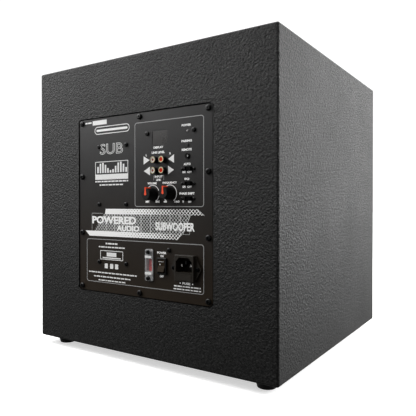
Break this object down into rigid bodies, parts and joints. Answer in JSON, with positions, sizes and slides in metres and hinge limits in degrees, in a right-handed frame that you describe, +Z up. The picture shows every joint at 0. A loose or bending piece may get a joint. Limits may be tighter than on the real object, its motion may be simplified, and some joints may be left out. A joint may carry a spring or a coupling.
{
  "type": "powered subwoofer",
  "caption": "Powered subwoofer: closed cube cabinet with a front woofer and a rear plate amplifier carrying jacks, dials, switches, a mains inlet and a fuse drawer.",
  "frame": {"origin": "on the floor, under the middle of the whole object's box", "axes": "+Z up, -Y out of the woofer (front), +Y out of the amplifier plate (back), +X to the right seen from the front"},
  "size_m": [0.4, 0.416, 0.412],
  "materials": {
    "coated_board": "matte",
    "bare_board": "matte",
    "foot_rubber": "matte",
    "zinc_screw": "satin",
    "black_screw": "satin",
    "cast_frame": "satin",
    "gasket_foam": "matte",
    "trim_rubber": "matte",
    "surround_rubber": "satin",
    "cone_paper": "matte",
    "cap_paper": "satin",
    "spider_cloth": "matte",
    "coil_winding": "satin",
    "pole_steel": "satin",
    "magnet_ferrite": "matte",
    "terminal_plastic": "matte",
    "plate_black": "satin",
    "sink_aluminium": "satin",
    "circuit_board": "satin",
    "transformer_ferrite": "matte",
    "capacitor_can": "satin",
    "black_plastic": "satin",
    "gold_plating": "polished",
    "insert_white": "gloss",
    "insert_red": "gloss",
    "pot_metal": "satin",
    "shaft_metal": "satin",
    "knob_plastic": "satin",
    "tinted_window": "gloss",
    "led_lens": "gloss",
    "button_plastic": "satin",
    "jack_nickel": "polished",
    "lever_plastic": "satin",
    "selector_white": "satin",
    "slider_red": "gloss",
    "clear_cover": "gloss",
    "rocker_plastic": "satin",
    "pin_nickel": "polished",
    "fuse_glass": "gloss"
  },
  "bodies": {
    "cabinet": {"cabinet_top": "coated_board", "cabinet_bottom": "coated_board", "cabinet_left_side": "coated_board", "cabinet_right_side": "coated_board", "front_baffle": "coated_board", "back_panel": "coated_board", "internal_brace": "bare_board", "rubber_feet": "foot_rubber", "foot_screws": "zinc_screw", "woofer_basket": "cast_frame", "woofer_gasket": "gasket_foam", "woofer_trim_ring": "trim_rubber", "woofer_screws": "black_screw", "woofer_surround": "surround_rubber", "woofer_spider": "spider_cloth", "woofer_top_plate": "pole_steel", "woofer_magnet": "magnet_ferrite", "woofer_yoke": "pole_steel", "woofer_terminals": "terminal_plastic", "amp_plate": "plate_black", "amp_gasket": "gasket_foam", "plate_screws": "black_screw", "chassis_screws": "black_screw", "small_screws": "black_screw", "inlet_screws": "black_screw", "heat_sink": "sink_aluminium", "main_circuit_board": "circuit_board", "power_transformer": "transformer_ferrite", "filter_capacitors": "capacitor_can", "control_circuit_board": "circuit_board", "jack_block": "black_plastic", "jack_shells": "gold_plating", "jack_inserts_white": "insert_white", "jack_inserts_red": "insert_red", "potentiometers": "pot_metal", "display_window": "tinted_window", "display_module": "black_plastic", "power_led": "led_lens", "remote_jack": "jack_nickel", "slide_switch_bodies": "pot_metal", "voltage_selector_body": "selector_white", "voltage_cover": "clear_cover", "rocker_bezel": "black_plastic", "inlet_housing": "black_plastic", "inlet_pins": "pin_nickel"},
    "volume_dial": {"volume_knob": "knob_plastic", "volume_shaft": "shaft_metal"},
    "frequency_dial": {"frequency_knob": "knob_plastic", "frequency_shaft": "shaft_metal"},
    "auto_lever": {"auto_switch_lever": "lever_plastic"},
    "eq_lever": {"eq_switch_lever": "lever_plastic"},
    "phase_lever": {"phase_switch_lever": "lever_plastic"},
    "voltage_slide": {"voltage_slider": "slider_red"},
    "rocker": {"power_rocker": "rocker_plastic"},
    "pairing_key": {"pairing_button": "button_plastic"},
    "fuse_tray": {"fuse_drawer": "black_plastic", "fuse": "fuse_glass"},
    "cone_assembly": {"woofer_cone": "cone_paper", "dust_cap": "cap_paper", "voice_coil": "coil_winding"}
  },
  "joints": [
    {"name": "volume_turn", "type": "hinge", "parent": "cabinet", "child": "volume_dial", "pos_m": [-0.0219, 0.1935, 0.2258], "axis": [0, -1, 0], "range_deg": [-150, 150]},
    {"name": "frequency_turn", "type": "hinge", "parent": "cabinet", "child": "frequency_dial", "pos_m": [-0.0499, 0.1935, 0.227], "axis": [0, -1, 0], "range_deg": [-150, 150]},
    {"name": "auto_slide", "type": "slide", "parent": "cabinet", "child": "auto_lever", "axis": [1, 0, 0], "range_m": [0, 0.0052]},
    {"name": "eq_slide", "type": "slide", "parent": "cabinet", "child": "eq_lever", "axis": [1, 0, 0], "range_m": [0, 0.0052]},
    {"name": "phase_slide", "type": "slide", "parent": "cabinet", "child": "phase_lever", "axis": [1, 0, 0], "range_m": [0, 0.0052]},
    {"name": "voltage_select", "type": "slide", "parent": "cabinet", "child": "voltage_slide", "axis": [0, 0, 1], "range_m": [0, 0.0039]},
    {"name": "rocker_tilt", "type": "hinge", "parent": "cabinet", "child": "rocker", "pos_m": [-0.0381, 0.1937, 0.1343], "axis": [-1, 0, 0], "range_deg": [0, 20]},
    {"name": "pairing_press", "type": "slide", "parent": "cabinet", "child": "pairing_key", "axis": [0, -1, 0], "range_m": [0, 0.0008], "stiffness_N_per_m": 400},
    {"name": "fuse_drawer_slide", "type": "slide", "parent": "cabinet", "child": "fuse_tray", "axis": [0, 1, 0], "range_m": [0, 0.0225]},
    {"name": "cone_travel", "type": "slide", "parent": "cabinet", "child": "cone_assembly", "axis": [0, -1, 0], "range_m": [-0.012, 0.012], "stiffness_N_per_m": 3500, "deforming": ["woofer_surround", "woofer_spider"]}
  ]
}
